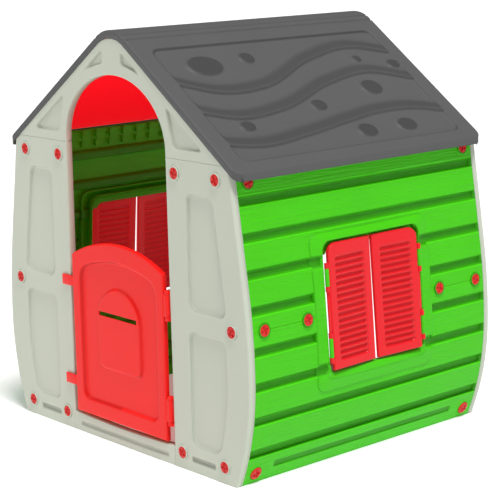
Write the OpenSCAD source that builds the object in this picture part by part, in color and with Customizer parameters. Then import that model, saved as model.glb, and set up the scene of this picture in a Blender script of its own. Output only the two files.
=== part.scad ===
// Plastic playhouse: two arched gable ends, two bulging side walls of moulded boards with
// shuttered windows, a two-sided roof and a half door.
// X runs across the gables, Y along the ridge with the door side at -Y, Z up from the floor.

/* [House] */
// Height to the top of the rounded ridge
house_h = 1090; // [1086:1:1094]
// Width across the feet of the side walls
base_w = 895; // [890:1:900]
// Depth from the front gable face to the back gable face
house_d = 872; // [866:2:880]
// Height of the joint between the columns and the arched gable tops
seam_z = 790; // [788:1:792]
// Depth of the gable mouldings, front to back
gable_t = 19; // [18:0.5:20]
// Thickness of the moulded plastic skin
skin = 3.5; // [3:0.25:4]

/* [Side walls] */
// How far each wall bulges out past its foot
bulge = 56; // [53:1:58]
// Height of the widest point of the bulge
bulge_z = 270; // [266:1:274]
// Radius of the wall just above the widest point
upper_r = 1500; // [1450:10:1550]
// Inward lean of the upper wall in degrees
lean = 8.7; // [8.5:0.1:8.9]
// Height of the joint between the lower and upper wall halves
wall_seam = 395.5; // [394:0.5:397]
// Height from one groove to the next
board_pitch = 87; // [86:0.5:88]
// Height of a groove between two boards
groove_h = 28; // [26:1:30]
// Depth of a groove
groove_d = 10; // [8:1:10]

/* [Roof] */
// Half width to the eave edge
eave_x = 473; // [470:1:476]
// Slope of the roof in degrees
roof_pitch = 35.6; // [35.4:0.1:35.8]
// Radius of the rounded ridge
ridge_r = 100; // [96:1:104]
// Depth of the roof edge, straight down
verge_drop = 20; // [19:0.5:21]

/* [Doorway and door] */
// Half width of the doorway at the floor
jamb_base = 214; // [213:0.5:216]
// Half width of the doorway under the arch
jamb_top = 207; // [206.5:0.5:209]
// Height of the top of the arch
arch_top = 977; // [972:1:980]
// Half width of the door
door_half = 190; // [187:1:191]
// Height of the door's bottom edge
door_bottom = 60; // [58:1:64]
// Height of the door's top corners
door_shoulder = 494; // [488:1:500]
// Radius of the door's arched top
door_arch_r = 404; // [400:1:420]
// Thickness of the door
door_t = 14; // [12:1:14]

/* [Windows and shutters] */
// Half width of a window opening
window_half = 172.5; // [172:0.5:174]
// Width of the raised frame around a window
frame_w = 38; // [35:1:40]
// Width of one shutter
shutter_w = 154; // [150:1:154]
// Height of a shutter
shutter_h = 318; // [312:1:319]
// Thickness of a shutter
shutter_t = 10; // [9:0.5:10]

/* [Screws] */
// Diameter of the round screw heads
screw_head_d = 34; // [30:1:35]
// Diameter of the screw shanks
shank_d = 10; // [9:0.5:10]

/* [Hidden] */

$fn = 48;
eps = 0.01;
join = 1;                     // depth by which two shapes of one piece sink into each other
gap = 0.2;                    // space between fixed pieces that meet
front_y = -house_d / 2;
inner_y = front_y + gable_t;  // back face of the front gable mouldings
wall_end = -inner_y - gap;    // half length of the side walls

// Side wall outline: an arc up to the widest point, a wider arc above it, then a straight lean.
lower_r = (bulge_z * bulge_z + bulge * bulge) / (2 * bulge);
widest_x = base_w / 2 + bulge;
lean_z = bulge_z + upper_r * sin(lean);
lean_x = widest_x - upper_r * (1 - cos(lean));
function wall_x(z) =
  z < bulge_z ? widest_x - lower_r + sqrt(lower_r * lower_r - pow(bulge_z - z, 2)) :
  z < lean_z ? widest_x - upper_r + sqrt(upper_r * upper_r - pow(z - bulge_z, 2)) :
  lean_x - (z - lean_z) * tan(lean);
function wall_tilt(z) = atan((wall_x(z - 1) - wall_x(z + 1)) / 2);

// Roof outline: half of the rounded ridge, then the straight slope, at a depth d below the surface.
ridge_c = house_h - ridge_r;
apex_z = ridge_c + ridge_r / cos(roof_pitch);
function slope_z(x, d = 0) = apex_z - d / cos(roof_pitch) - x * tan(roof_pitch);
ridge_steps = 6;
function roof_line(x_end, d = 0, down = 0) = concat(
  [for (i = [0 : ridge_steps]) let (a = roof_pitch * i / ridge_steps)
    [(ridge_r - d) * sin(a), ridge_c + (ridge_r - d) * cos(a) - down]],
  [[x_end, slope_z(x_end, d) - down]]);
function reversed(list) = [for (i = [len(list) - 1 : -1 : 0]) list[i]];
function mirrored(list) = [for (p = list) [-p[0], p[1]]];

// Draws a flat (x, z) shape from y0 to y1.
module slab(y0, y1) {
  rotate([90, 0, 0]) translate([0, 0, -y1]) linear_extrude(y1 - y0) children();
}
module left_and_right() {
  children();
  mirror([1, 0, 0]) children();
}

// ---- Gable ends -------------------------------------------------------------------------------
outline_step = 30;
column_top = seam_z - gap;
pocket_d = 7;                 // depth of the recessed panels
tab_t = 6;                    // thickness of the tabs behind the columns
tab_w = 44;
arch_base = 800;              // height where the jambs turn into the arch
function jamb_x(z) = jamb_base + (jamb_top - jamb_base) * z / seam_z;

// Everything below the roof edge, lowered by a further d.
module under_roof(d = 0) {
  edge = roof_line(600, 0, verge_drop + gap + d);
  polygon(concat([[-600, -10], [600, -10]], reversed(edge), mirrored(edge)));
}
module arch_shape(grow = 0) {
  a = jamb_top + grow;
  b = arch_top - arch_base + grow;
  arc = [for (t = [0 : 7.5 : 180]) [a * cos(t), arch_base + b * sin(t)]];
  polygon(concat([[-a, seam_z - 5], [a, seam_z - 5]], arc));
}
module column_shape(d = 0) {
  sides = [for (z = [d : outline_step : seam_z]) [wall_x(z) - d, z]];
  intersection() {
    polygon(concat([[jamb_x(d) + d, d]], sides,
      [[wall_x(seam_z) - d, column_top], [jamb_x(column_top) + d, column_top]]));
    under_roof(d);
  }
}
// One recessed panel of a column, between two heights; its outer side follows the bulge.
module column_pocket(z0, z1, x0, margin) {
  c = 14;
  steps = [for (i = [0 : 4]) z0 + c + (z1 - z0 - 2 * c) * i / 4];
  polygon(concat([[x0 + c, z0], [wall_x(z0) - margin - c, z0]],
    [for (z = steps) [wall_x(z) - margin, z]],
    [[wall_x(z1) - margin - c, z1], [x0 + c, z1], [x0, z1 - c], [x0, z0 + c]]));
}
module column_pockets(grow = 0) {
  column_pocket(417 - grow, 708 + grow, 284 - grow, 80 - grow);
  column_pocket(71 - grow, 362 + grow, 292 - grow, 90 - grow);
  // Slot between the two foot screws.
  translate([282 - grow, 30 - grow]) square([88 + 2 * grow, 8 + 2 * grow]);
}
// Screw places on a gable: [x, z, reach], where reach is how deep the screw goes.
near_reach = 18;
deep_reach = 25;
gable_screws = [[395, 754, near_reach], [242, 754, near_reach], [444, 391, deep_reach],
  [409, 44, deep_reach], [247, 44, near_reach]];
bore_d = shank_d + 0.4;
module gable_bores() {
  for (s = gable_screws) translate([s[0], front_y - join, s[1]]) rotate([-90, 0, 0])
    cylinder(d = bore_d, h = deep_reach + 10);
}
// A frame on the right side wall at height z: X points out of the wall, Z up along it.
module on_wall(y, z) {
  translate([wall_x(z), y, z]) rotate([0, -wall_tilt(z), 0]) children();
}
wall_screw_y = 382;           // screws near the ends of a side wall
window_screw_y = 238.5;       // screws beside the windows
foot_screw_z = 28;
eave_screw_z = 748;
hook_d = [19.5, 15.3];        // depths of the column hooks behind the wall face
hook_reach = 74;
slot_half = 36;
hinge_z = [415, 141];         // heights of the door hinges and of the slots for them

module front_column() {
  difference() {
    union() {
      difference() {
        slab(front_y, inner_y) column_shape();
        difference() {
          slab(front_y + skin, inner_y + join) column_shape(skin);
          slab(front_y, front_y + pocket_d + skin) column_pockets(skin);
          for (s = gable_screws) if (s[2] == deep_reach)
            translate([s[0], front_y, s[1]]) rotate([-90, 0, 0]) cylinder(d = 24, h = gable_t);
        }
        slab(front_y - join, front_y + pocket_d) column_pockets();
        // Way through the jamb for the tab of the threshold, and an open top for the gable tabs.
        translate([200, front_y + skin, 18]) cube([30, gable_t, 52]);
        translate([jamb_top + skin, front_y + skin, 770]) cube([210, gable_t, 30]);
        for (z = hinge_z) translate([200, front_y + skin, z - slot_half]) cube([20, 4, 2 * slot_half]);
      }
      for (z = [foot_screw_z, eave_screw_z]) on_wall(0, z)
        translate([-hook_d[0], front_y + skin - join, -22])
          cube([hook_d[0] - hook_d[1], hook_reach, 44]);
    }
    gable_bores();
    for (z = [foot_screw_z, eave_screw_z]) on_wall(-wall_screw_y, z) rotate([0, 90, 0])
      cylinder(d = bore_d, h = 80, center = true);
  }
}
module gable_pockets(grow = 0) {
  g = grow;
  left_and_right() {
    polygon([[36 - g, 1004 - g], [36 - g, 1041 + g], [54, 1041 + g], [128 + g, 986], [128 + g, 980 - g],
      [84, 996 - g]]);
    polygon([[203 - g, 929], [209, 934 + g], [350 + g, 830], [350 + g, 812 - g], [237 - g, 812 - g],
      [228 - g, 868]]);
  }
}
module front_gable_top() {
  difference() {
    union() {
      difference() {
        slab(front_y, inner_y) difference() {
          intersection() {
            under_roof();
            translate([-600, seam_z]) square([1200, 400]);
          }
          arch_shape();
        }
        difference() {
          slab(front_y + skin, inner_y + join) difference() {
            intersection() {
              under_roof(skin);
              translate([-600, seam_z - join]) square([1200, 400]);
            }
            arch_shape(skin);
          }
          slab(front_y, front_y + pocket_d + skin) gable_pockets(skin);
        }
        slab(front_y - join, front_y + pocket_d) gable_pockets();
      }
      // Tabs that reach down behind the column tops.
      for (side = [-1, 1], s = gable_screws) if (s[1] > 700)
        translate([side * s[0] - tab_w / 2 + (s[0] < 300 ? side * 4 : -side * 3),
          front_y + skin + gap, 734])
          cube([tab_w, tab_t, seam_z - 734 + (s[0] < 300 ? 18 : 9)]);
      for (side = [-1, 1], s = gable_screws) if (s[1] > 700)
        translate([side * s[0] - tab_w / 2 + (s[0] < 300 ? side * 4 : -side * 3),
          front_y + skin - join, seam_z])
          cube([tab_w, tab_t + join, s[0] < 300 ? 18 : 5]);
    }
    left_and_right() gable_bores();
    under_tab_slope();
  }
}
// Trims the outer tabs to the roof edge.
module under_tab_slope() {
  slab(front_y + skin - 2 * join, inner_y) difference() {
    translate([-600, seam_z]) square([1200, 400]);
    under_roof();
  }
}
sill_slot_d = 5;
module front_threshold() {
  sill = [for (x = [-1 : 0.25 : 1]) [-x * (jamb_x(50) - gap), 47 + 6 * x * x]];
  difference() {
    union() {
      difference() {
        slab(front_y, inner_y)
          polygon(concat([[-jamb_base + gap, 0], [jamb_base - gap, 0]], sill));
        difference() {
          slab(front_y + skin, inner_y + join) translate([-jamb_top + skin, skin])
            square([2 * (jamb_top - skin), 47 - 2 * skin]);
          slab(front_y, front_y + sill_slot_d + skin) translate([-190, 15]) square([380, 16]);
        }
        slab(front_y - join, front_y + sill_slot_d) translate([-186, 19]) square([372, 8]);
      }
      left_and_right() translate([jamb_top - skin, front_y + skin + gap, 20])
        cube([62, tab_t, 46]);
    }
    left_and_right() gable_bores();
    // The tab stays below the sill inside the doorway.
    translate([-jamb_x(50) + gap, front_y, 53]) cube([2 * (jamb_x(50) - gap), gable_t, 20]);
  }
}

// ---- Side walls -------------------------------------------------------------------------------
wall_top = 778;
seam_board = 35.5;            // from the joint to the first groove on either side
slope_h = 11;                 // height of a groove's slope under the upper board
step_h = 4;                   // height of its step out to the lower board
grooves = 4;                  // grooves in each half of a wall
flange_w = 75;                // end flange behind the columns
// Heights and depths along a wall half, away from the joint, with grooves widened by w.
// A groove slopes in gently under the board above it and steps out to the board below.
function groove_path(dir, w) = [for (k = [0 : grooves - 1])
  let (a = seam_board + k * board_pitch, near = dir > 0 ? step_h : slope_h,
    far = dir > 0 ? slope_h : step_h)
    each [[a - w, 0], [a - w + near, groove_d], [a + groove_h + w - far, groove_d],
      [a + groove_h + w, 0]]];
function wall_path(dir, w) = concat([[0, 0]], groove_path(dir, w),
  [[dir > 0 ? wall_top - wall_seam : wall_seam, 0]]);
function wall_face(dir, w, d) = [for (p = wall_path(dir, w))
  let (z = wall_seam + dir * p[0]) [wall_x(z) - p[1] - d, z]];
module wall_section(dir) {
  polygon(concat(wall_face(dir, 0, 0), reversed(wall_face(dir, skin, skin))));
}
module end_flange_shape(dir) {
  z0 = wall_seam;
  z1 = dir > 0 ? 712 : 60;
  steps = [for (i = [0 : 8]) z0 + (z1 - z0) * i / 8];
  face = [for (p = wall_face(dir, 0, 0)) if (p[1] > 59 && p[1] < 713) p];
  polygon(concat(face, reversed([for (z = steps) [wall_x(z) - flange_w, z]])));
}

// Window frame of reference: X points out of the window, Y along the wall, Z up the window.
window_z = 410;
window_tilt = 4.5;
window_x = wall_x(window_z) + 1;
module at_window() { translate([window_x, 0, window_z]) rotate([0, -window_tilt, 0]) children(); }
opening_lo = -165;
opening_hi = 168;
corner_r = 28;
frame_depth = 28;
frame_lo = opening_lo - frame_w - 7;
frame_hi = opening_hi + 22;
frame_proud = 8;              // the most a frame stands out from the boards
// A rounded rectangle in the window plane, from height v0 to v1.
module window_plate(half, v0, v1, r, n0, n1) {
  translate([n0, 0, 0]) rotate([90, 0, 90]) linear_extrude(n1 - n0) {
    translate([-half + r, v0]) square([2 * (half - r), v1 - v0]);
    translate([-half, v0 + r]) square([2 * half, v1 - v0 - 2 * r]);
    for (u = [-half + r, half - r], v = [v0 + r, v1 - r]) translate([u, v]) circle(r);
  }
}
hinge_u = 166.5;              // shutter hinge line, from the window's middle
hinge_n = 2;                  // and in front of the frame's face
barrel_d = 11;
pin_d = 6;
running = 0.1;                // running clearance on diameters
knuckle_h = 14;
lug_spans = [[56.5, 101], [-123, -74.5]];
pin_l = 13;
module hinge_lug(span) {
  difference() {
    union() {
      translate([hinge_n, hinge_u, span[0]]) cylinder(d = barrel_d, h = span[1] - span[0]);
      translate([hinge_n - 6, hinge_u, span[0]]) cube([3.2, 8, span[1] - span[0]]);
    }
    for (v = [span[0] - join, span[1] + join - pin_l - 2])
      translate([hinge_n, hinge_u, v]) cylinder(d = pin_d + running, h = pin_l + 2);
  }
}
module window_frame() {
  half = window_half + frame_w;
  difference() {
    window_plate(half, frame_lo, frame_hi, corner_r, -frame_depth, 0);
    difference() {
      window_plate(half - skin, frame_lo + skin, frame_hi - skin, corner_r - skin,
        -frame_depth - join, -skin);
      window_plate(window_half + skin, opening_lo - skin, opening_hi + skin, corner_r + skin,
        -frame_depth - 2 * join, 0);
    }
  }
}
// Outline that the frame stays within, a little outside the boards.
module frame_limit() {
  points = [for (i = [0 : 12]) let (z = 170 + i * 40) [wall_x(z) + frame_proud, z]];
  polygon(concat(points, [[300, 650], [300, 170]]));
}
// Lip behind the tops of the shutters, which they close against.
ledge_n = [-18, -15.5];
ledge_lo = 134;
ledge_w = 20;
module window_ledge() {
  difference() {
    window_plate(window_half + join, ledge_lo - 60, opening_hi + join, corner_r,
      ledge_n[0], ledge_n[1]);
    window_plate(window_half - ledge_w, ledge_lo - 90, opening_hi - ledge_w, corner_r, -60, 0);
    translate([-60, -400, ledge_lo - 100]) cube([80, 800, 100]);
  }
}
slot_d = 3;                   // depth of the long recess in the bottom board
module right_wall(dir) {
  z_far = dir > 0 ? wall_top : 0;
  difference() {
    union() {
      slab(-wall_end, wall_end) wall_section(dir);
      intersection() {
        at_window() window_frame();
        slab(-400, 400) frame_limit();
        translate([300, -400, min(wall_seam, z_far)]) cube([300, 800, abs(z_far - wall_seam)]);
      }
      for (side = [0, 1]) mirror([0, side, 0]) {
        slab(-wall_end, -wall_end + 4) end_flange_shape(dir);
        if (dir < 0) translate([wall_x(44) - 92, -wall_end, 20]) cube([56, 4, 60]);
        if (dir < 0) on_wall(0, 40) translate([-slot_d - skin + join, -328, -10])
          cube([skin, 328 + join, 20]);
        // Boss that meets the column hook.
        on_wall(-wall_screw_y, dir > 0 ? eave_screw_z : foot_screw_z) rotate([0, -90, 0])
          translate([0, 0, skin - join]) cylinder(d = 24, h = hook_d[1] - skin + join - gap);
      }
      // Tongues of the upper half that lap behind the lower half at the joint.
      if (dir > 0) for (side = [-1, 1], y = [wall_screw_y - 8, window_screw_y])
        on_wall(side * y, wall_seam) {
          translate([-skin - 5.5, -20, -29]) cube([5, 40, 58]);
          translate([-skin - 2, -20, 3]) cube([3, 40, 26]);
        }
      at_window() for (side = [0, 1]) mirror([0, side, 0]) hinge_lug(lug_spans[dir > 0 ? 0 : 1]);
    }
    at_window() difference() {
      window_plate(window_half, opening_lo, opening_hi, corner_r, -60, 40);
      for (side = [0, 1]) mirror([0, side, 0]) hinge_lug(lug_spans[dir > 0 ? 0 : 1]);
    }
    for (side = [-1, 1], y = [wall_screw_y, window_screw_y]) on_wall(side * y, wall_seam)
      rotate([0, 90, 0]) cylinder(d = bore_d, h = 60, center = true);
    for (side = [-1, 1]) on_wall(side * wall_screw_y, dir > 0 ? eave_screw_z : foot_screw_z)
      rotate([0, 90, 0]) cylinder(d = bore_d, h = 80, center = true);
    gable_bores();
    mirror([0, 1, 0]) gable_bores();
    // Long shallow recess in the bottom board.
    if (dir < 0) on_wall(0, 40) translate([-slot_d, -325, -7]) cube([10, 650, 14]);
  }
  if (dir > 0) at_window() window_ledge();
}

// ---- Roof -------------------------------------------------------------------------------------
roof_end = house_d / 2 + 2;
roof_skin = 4;
lining_t = 2.5;
lining_x = 439;               // half width to the lining's lower edge
lining_d = 10;                // depth of the lining below the roof surface
verge_t = 4;
eave_lip = 18;
module roof_skin_shape() {
  lip_x = eave_x + 3;
  polygon(concat(roof_line(eave_x), [[lip_x, slope_z(eave_x) - eave_lip],
    [lip_x - verge_t, slope_z(eave_x) - eave_lip], [eave_x - verge_t, slope_z(eave_x - verge_t, roof_skin)]],
    reversed(roof_line(eave_x - verge_t, roof_skin))));
}
module verge_shape() {
  polygon(concat(roof_line(eave_x), reversed(roof_line(eave_x - 2, 0, verge_drop))));
}
module roof_panel_right() {
  slab(-roof_end, roof_end) intersection() {
    roof_skin_shape();
    translate([gap / 2, 0]) square([600, 1200]);
  }
  for (side = [0, 1]) mirror([0, side, 0])
    for (y = [-roof_end, inner_y - verge_t]) slab(y, y + verge_t) intersection() {
      verge_shape();
      translate([gap / 2, 0]) square([600, 1200]);
    }
}
module roof_lining_right() {
  slab(inner_y + gap, -inner_y - gap) intersection() {
    polygon(concat(roof_line(lining_x, lining_d), reversed(roof_line(lining_x, lining_d + lining_t))));
    translate([gap / 2, 0]) square([600, 1200]);
  }
}

// ---- Screws -----------------------------------------------------------------------------------
head_h = 5;
// A screw along -Z from the face at z = 0: domed head with a cross recess, and its shank.
module screw(reach) {
  difference() {
    union() {
      translate([0, 0, 0.1]) cylinder(d = screw_head_d, h = 2.5);
      translate([0, 0, 2.6 - eps]) cylinder(d1 = screw_head_d, d2 = screw_head_d - 8, h = head_h - 2.6);
      translate([0, 0, -reach]) cylinder(d = shank_d, h = reach + join);
    }
    for (a = [0, 90]) rotate(a) translate([-11, -2, 2.6]) cube([22, 4, head_h]);
  }
}
module front_gable_screws() {
  left_and_right() for (s = gable_screws)
    translate([s[0], front_y, s[1]]) rotate([90, 0, 0]) screw(s[2]);
}
module right_wall_screws() {
  for (side = [-1, 1]) {
    on_wall(side * wall_screw_y, eave_screw_z) rotate([0, 90, 0]) screw(22);
    on_wall(side * wall_screw_y, foot_screw_z) rotate([0, 90, 0]) screw(22);
    for (y = [wall_screw_y, window_screw_y])
      on_wall(side * y, wall_seam) rotate([0, 90, 0]) screw(14);
  }
}

// ---- Door -------------------------------------------------------------------------------------
door_face = front_y - 5.5;    // front face of the door, just ahead of the columns
door_apex = door_shoulder + door_arch_r - sqrt(pow(door_arch_r, 2) - pow(door_half, 2));
hinge_x = 200;
hinge_y = front_y;
door_barrel_d = 13;
clip_h = 78;
clip_end = 9;                 // height of a clip's knuckle at each end
module door_shape(d = 0) {
  arc = [for (i = [-8 : 8]) let (x = i * (door_half - d) / 8)
    [x, door_apex - door_arch_r + sqrt(pow(door_arch_r, 2) - x * x) - d]];
  polygon(concat([[door_half - d, door_bottom + d], [-door_half + d, door_bottom + d]], arc));
}
// Raised arched panel inside the door's recessed field, and the letter slot through it.
panel_half = 92;
panel_z = [200, 334];
slot_x = [-84, 76];
slot_z = [343, 355];
module door_panel_shape() {
  translate([-panel_half, panel_z[0]]) square([2 * panel_half, panel_z[1] - panel_z[0]]);
  translate([0, panel_z[1]]) circle(r = panel_half);
}
door_left = 194;              // the leaf reaches a little further on its free side
door_skin = 4;
module door() {
  barrel_h = clip_h - 2 * clip_end - 1;
  difference() {
    union() {
      difference() {
        union() {
          slab(door_face, door_face + door_t) door_shape();
          translate([-door_left, door_face, door_bottom])
            cube([door_left, door_t, door_shoulder - door_bottom]);
        }
        difference() {
          slab(door_face - join, door_face + 8) door_shape(28);
          slab(door_face + 1, door_face + door_t) door_panel_shape();
        }
        slab(door_face + 8 + door_skin, door_face + door_t + join) door_shape(34);
      }
      for (z = hinge_z) {
        translate([hinge_x, hinge_y, z - barrel_h / 2]) cylinder(d = door_barrel_d, h = barrel_h);
        translate([door_half - join, hinge_y - 5, z - barrel_h / 2])
          cube([hinge_x - door_half, 9, barrel_h]);
        // Stop tab that laps over the left column.
        translate([-241, door_face, z - 12]) cube([241 - door_left + join, 5, 28]);
      }
    }
    for (z = hinge_z) translate([hinge_x, hinge_y, z - clip_h])
      cylinder(d = pin_d + running, h = 2 * clip_h);
    // Letter slot.
    translate([slot_x[0], door_face - join, slot_z[0]])
      cube([slot_x[1] - slot_x[0], door_t + 2 * join, slot_z[1] - slot_z[0]]);
  }
}
// Clip that hooks into the slot of the right column and carries the hinge pin.
module door_hinge_clip(z) {
  translate([hinge_x, hinge_y, z - clip_h / 2]) {
    cylinder(d = pin_d, h = clip_h);
    for (h = [0, clip_h - clip_end]) translate([0, 0, h]) {
      cylinder(d = door_barrel_d, h = clip_end);
      translate([0, 1, 0]) cube([jamb_x(z) - hinge_x - 0.3, 5.3, clip_end]);
    }
  }
  translate([jamb_top - 1, front_y + skin + 0.3, z - slot_half + 0.5])
    cube([14, 3.4, 2 * slot_half - 1]);
}

// ---- Shutters ---------------------------------------------------------------------------------
shutter_lo = -156.5;
shutter_edge = 5.5;           // gap from the window's middle to the shutter's free edge
louvres = 17;
louvre_pitch = 15.7;
rest_turn = 3.5;              // how far in a closed shutter leans, in degrees
module shutter_plate(u0, u1, v0, v1, n0, n1, r) {
  translate([n0, 0, 0]) rotate([90, 0, 90]) linear_extrude(n1 - n0) {
    translate([u0, v0]) square([u1 - u0, v1 - v0 - r]);
    translate([u0, v0]) square([u1 - u0 - r, v1 - v0]);
    translate([u1 - r, v1 - r]) circle(r);
  }
}
// The shutter on the +Y side of the right wall's window, in the window's frame of reference.
module shutter() {
  u1 = shutter_edge + shutter_w;
  v1 = shutter_lo + shutter_h;
  half_t = shutter_t / 2;
  louvre_u = [shutter_edge + 26, u1 - 34];
  difference() {
    union() {
      difference() {
        shutter_plate(shutter_edge, u1, shutter_lo, v1, -half_t, half_t, 28);
        shutter_plate(shutter_edge + 4, u1 - 4, shutter_lo + 4, v1 - 4, -half_t - join, 0, 24);
      }
      // The edge is wider between the upper and the lower hinge.
      translate([-3, u1 - join, lug_spans[1][1] + 1])
        cube([5, 8, lug_spans[0][0] - lug_spans[1][1] - 2]);
      for (span = lug_spans, end = [0, 1]) {
        v = end == 0 ? span[0] - 0.5 - knuckle_h : span[1] + 0.5;
        translate([hinge_n, hinge_u, v]) cylinder(d = barrel_d, h = knuckle_h);
        translate([-3, u1 - join, v]) cube([half_t + 3, hinge_u - u1 + join, knuckle_h]);
        translate([hinge_n, hinge_u, end == 0 ? v : v - pin_l + 1])
          cylinder(d = pin_d, h = knuckle_h + pin_l - 1);
      }
    }
    for (i = [0 : louvres - 1])
      translate([half_t - 2.5, louvre_u[0], -129 + i * louvre_pitch])
        cube([5, louvre_u[1] - louvre_u[0], 6]);
  }
}
module shutter_right_back() {
  at_window() translate([hinge_n, hinge_u, 0]) rotate([0, 0, -rest_turn])
    translate([-hinge_n, -hinge_u, 0]) shutter();
}

// ---- Nodes ------------------------------------------------------------------------------------
pale = "#c5cab8";
green = "#4fb81c";
red = "#e8343a";
slate = "#66666a";
module to_left() { mirror([1, 0, 0]) children(); }
module to_back() { mirror([0, 1, 0]) children(); }

color(pale) to_left() front_column();  // front_column_left
color(pale) front_column();  // front_column_right
color(pale) front_gable_top();
color(pale) front_threshold();
color(pale) to_back() to_left() front_column();  // back_column_left
color(pale) to_back() front_column();  // back_column_right
color(pale) to_back() front_gable_top();  // back_gable_top
color(pale) to_back() front_threshold();  // back_threshold
color(green) to_left() right_wall(-1);  // side_wall_left_lower
color(green) to_left() right_wall(1);  // side_wall_left_upper
color(green) right_wall(-1);  // side_wall_right_lower
color(green) right_wall(1);  // side_wall_right_upper
color(slate) to_left() roof_panel_right();  // roof_panel_left
color(slate) roof_panel_right();
color(red) to_left() roof_lining_right();  // roof_lining_left
color(red) roof_lining_right();
color(red) front_gable_screws();
color(red) to_back() front_gable_screws();  // back_gable_screws
color(red) to_left() right_wall_screws();  // left_wall_screws
color(red) right_wall_screws();
color(red) door();
color(red) door_hinge_clip(hinge_z[0]);  // door_hinge_clip_upper
color(red) door_hinge_clip(hinge_z[1]);  // door_hinge_clip_lower
color(red) to_left() to_back() shutter_right_back();  // shutter_left_front
color(red) to_left() shutter_right_back();  // shutter_left_back
color(red) to_back() shutter_right_back();  // shutter_right_front
color(red) shutter_right_back();
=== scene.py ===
import math

import bpy
import numpy as np
from mathutils import Matrix, Vector


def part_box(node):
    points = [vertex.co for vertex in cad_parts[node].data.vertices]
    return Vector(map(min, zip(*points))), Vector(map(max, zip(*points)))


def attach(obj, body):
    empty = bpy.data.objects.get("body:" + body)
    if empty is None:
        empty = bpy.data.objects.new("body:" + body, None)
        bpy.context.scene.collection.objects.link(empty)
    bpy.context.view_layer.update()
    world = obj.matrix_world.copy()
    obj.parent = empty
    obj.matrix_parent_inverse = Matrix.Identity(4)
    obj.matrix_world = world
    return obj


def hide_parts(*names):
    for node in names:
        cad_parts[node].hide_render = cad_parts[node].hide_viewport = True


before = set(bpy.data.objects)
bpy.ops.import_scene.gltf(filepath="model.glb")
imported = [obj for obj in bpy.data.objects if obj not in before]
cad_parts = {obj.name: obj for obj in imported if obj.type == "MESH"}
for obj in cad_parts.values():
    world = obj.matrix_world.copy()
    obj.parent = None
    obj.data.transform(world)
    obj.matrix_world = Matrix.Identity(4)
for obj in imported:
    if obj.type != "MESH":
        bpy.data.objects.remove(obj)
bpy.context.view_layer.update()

# Lengths are in millimetres until a mesh is made; X runs across the gables, Y along the ridge, Z up.
MM = 0.001


def box_mm(node):
    low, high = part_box(node)
    return np.array(low) / MM, np.array(high) / MM


# ---- Sizes of the house, as the CAD has them ---------------------------------------------------
COLUMN_LOW, COLUMN_HIGH = box_mm("front_column_right")
GABLE_LOW, GABLE_HIGH = box_mm("front_gable_top")
ROOF_HIGH = box_mm("roof_panel_right")[1]
DOOR_LOW = box_mm("door")[0]
FRONT_Y = COLUMN_LOW[1]
GABLE_T = GABLE_HIGH[1] - GABLE_LOW[1]
SEAM_Z = COLUMN_HIGH[2]
HOUSE_H = ROOF_HIGH[2]
WALL_END = -(FRONT_Y + GABLE_T) - 0.2
SKIN = 3.5
SIDES = (("right", 1), ("left", -1))
ENDS = (("front", 1), ("back", -1))

FOOT_X = 447.5
BULGE = 56.0
BULGE_Z = 270.0
UPPER_R = 1500.0
LEAN = math.radians(8.7)
LOWER_R = (BULGE_Z ** 2 + BULGE ** 2) / (2 * BULGE)
WIDEST_X = FOOT_X + BULGE
LEAN_Z = BULGE_Z + UPPER_R * math.sin(LEAN)
LEAN_X = WIDEST_X - UPPER_R * (1 - math.cos(LEAN))

ROOF_PITCH = math.radians(35.6)
RIDGE_R = 100.0
RIDGE_C = HOUSE_H - RIDGE_R
APEX_Z = RIDGE_C + RIDGE_R / math.cos(ROOF_PITCH)
VERGE_DROP = 20.0
EAVE_X = 473.0

JAMB_BASE = 214.0
JAMB_TOP = 207.0
ARCH_BASE = 800.0
ARCH_TOP = 977.0

WALL_SEAM = 395.5
SEAM_BOARD = 35.5
BOARD_PITCH = 87.0
GROOVE_H = 28.0
GROOVE_D = 10.0
GROOVES = 4
WALL_TOP = 778.0


def wall_x(z):
    """Half width of the house at height z: an arc, a wider arc, then a straight lean."""
    z = np.asarray(z, float)
    lower = WIDEST_X - LOWER_R + np.sqrt(np.maximum(LOWER_R ** 2 - (BULGE_Z - z) ** 2, 0))
    upper = WIDEST_X - UPPER_R + np.sqrt(np.maximum(UPPER_R ** 2 - (z - BULGE_Z) ** 2, 0))
    straight = LEAN_X - (z - LEAN_Z) * math.tan(LEAN)
    return np.where(z < BULGE_Z, lower, np.where(z < LEAN_Z, upper, straight))


def wall_tilt(z):
    return math.atan(float(wall_x(z - 1) - wall_x(z + 1)) / 2)


def jamb_x(z):
    return JAMB_BASE + (JAMB_TOP - JAMB_BASE) * np.asarray(z, float) / SEAM_Z


# ---- Small tools -------------------------------------------------------------------------------
def smooth(t):
    t = np.clip(t, 0, 1)
    return t * t * (3 - 2 * t)


def soft_min(a, b, k):
    """The smaller of two distances, with the corner between them rounded over k."""
    h = np.clip(0.5 + 0.5 * (b - a) / k, 0, 1)
    return b * (1 - h) + a * h - k * h * (1 - h)


def rounded_edge(s, r):
    """How far a face drops at distance s from an edge rounded with radius r."""
    s = np.clip(s, 0, r)
    return r - np.sqrt(np.maximum(r * r - (r - s) ** 2, 0))


def spread(length, step, fine=(0.0, 0.4, 1.0, 1.8, 2.8, 4.2, 6.5)):
    """Distances from 0 to length: close together at both ends, about step apart between."""
    inner = length - 2 * fine[-1]
    count = max(2, int(round(inner / step)))
    middle = fine[-1] + inner * np.arange(1, count) / count
    return np.concatenate([fine, middle, [length - f for f in reversed(fine)]])


def box_inside(dx, hx, dz, hz, r):
    """Distance inside a rounded box, from offsets dx, dz and half sizes hx, hz."""
    qx = np.abs(dx) - hx + r
    qz = np.abs(dz) - hz + r
    outside = np.hypot(np.maximum(qx, 0), np.maximum(qz, 0))
    return r - outside - np.minimum(np.maximum(qx, qz), 0)


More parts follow.
